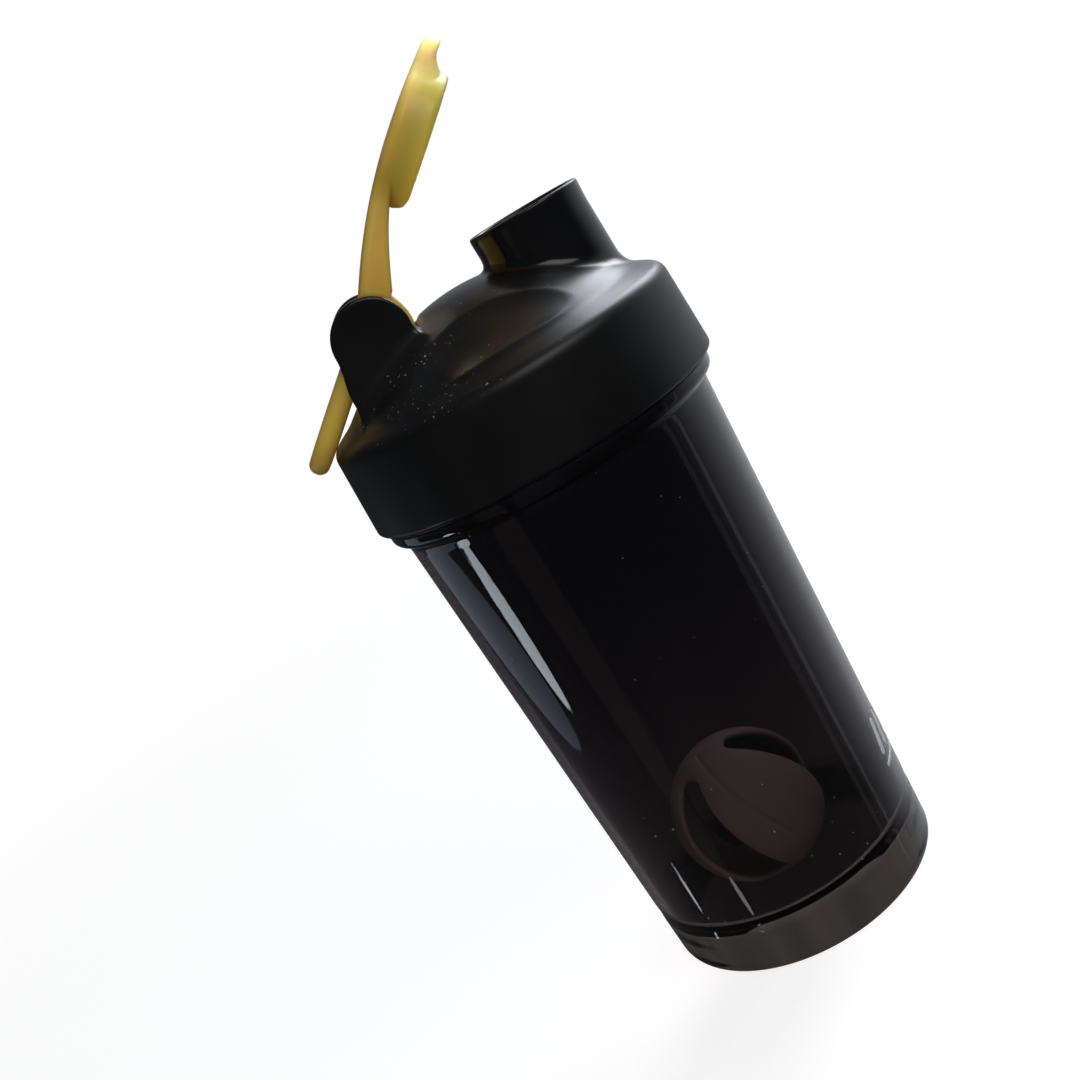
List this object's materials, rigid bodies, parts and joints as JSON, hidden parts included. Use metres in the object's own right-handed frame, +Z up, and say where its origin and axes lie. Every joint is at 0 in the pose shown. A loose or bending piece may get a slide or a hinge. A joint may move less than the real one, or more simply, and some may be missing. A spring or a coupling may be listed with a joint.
{
  "type": "protein shaker bottle",
  "caption": "Smoke-tinted tapered shaker cup with a screw-on domed lid, round spout, hinged flip cap with carry loop, seal ring and loose mixing ball.",
  "frame": {"origin": "under the middle of the bottle's box, in the plane the cup stands on; the bottle's own axis is 2.7 mm in front of it, at x = 0.0027", "axes": "+Z up along the bottle's axis, +X from the axis towards the spout, +Y along the flip cap's hinge"},
  "size_m": [0.0978, 0.0922, 0.2307],
  "materials": {
    "cup_plastic": "glossy smoke-tinted clear plastic",
    "lid_plastic": "satin black moulded plastic",
    "cap_plastic": "satin yellow, slightly translucent plastic",
    "seal_silicone": "matt grey silicone",
    "ball_plastic": "pale translucent moulded plastic"
  },
  "bodies": {
    "cup": {"cup": "cup_plastic"},
    "seal": {"seal_ring": "seal_silicone"},
    "lid": {"lid": "lid_plastic"},
    "flip_cap": {"flip_cap": "cap_plastic"},
    "ball": {"mixing_ball": "ball_plastic"}
  },
  "joints": [
    {"name": "lid_lift", "type": "slide", "parent": "cup", "child": "seal", "axis": [0, 0, 1], "range_m": [0, 0.00626]},
    {"name": "lid_unscrew", "type": "hinge", "parent": "seal", "child": "lid", "pos_m": [0.0027, 0, 0.147], "axis": [0, 0, 1], "range_deg": [0, 450]},
    {"name": "cap_hinge", "type": "hinge", "parent": "lid", "child": "flip_cap", "pos_m": [-0.0198, 0, 0.1797], "axis": [0, 1, 0], "range_deg": [0, 40]},
    {"name": "ball_rattle", "type": "slide", "parent": "cup", "child": "ball", "axis": [0, 0, 1], "range_m": [0, 0.1]}
  ],
  "couplings": [
    {"joint": "lid_lift", "follows": "lid_unscrew", "m_per_rad": 0.00079577}
  ]
}
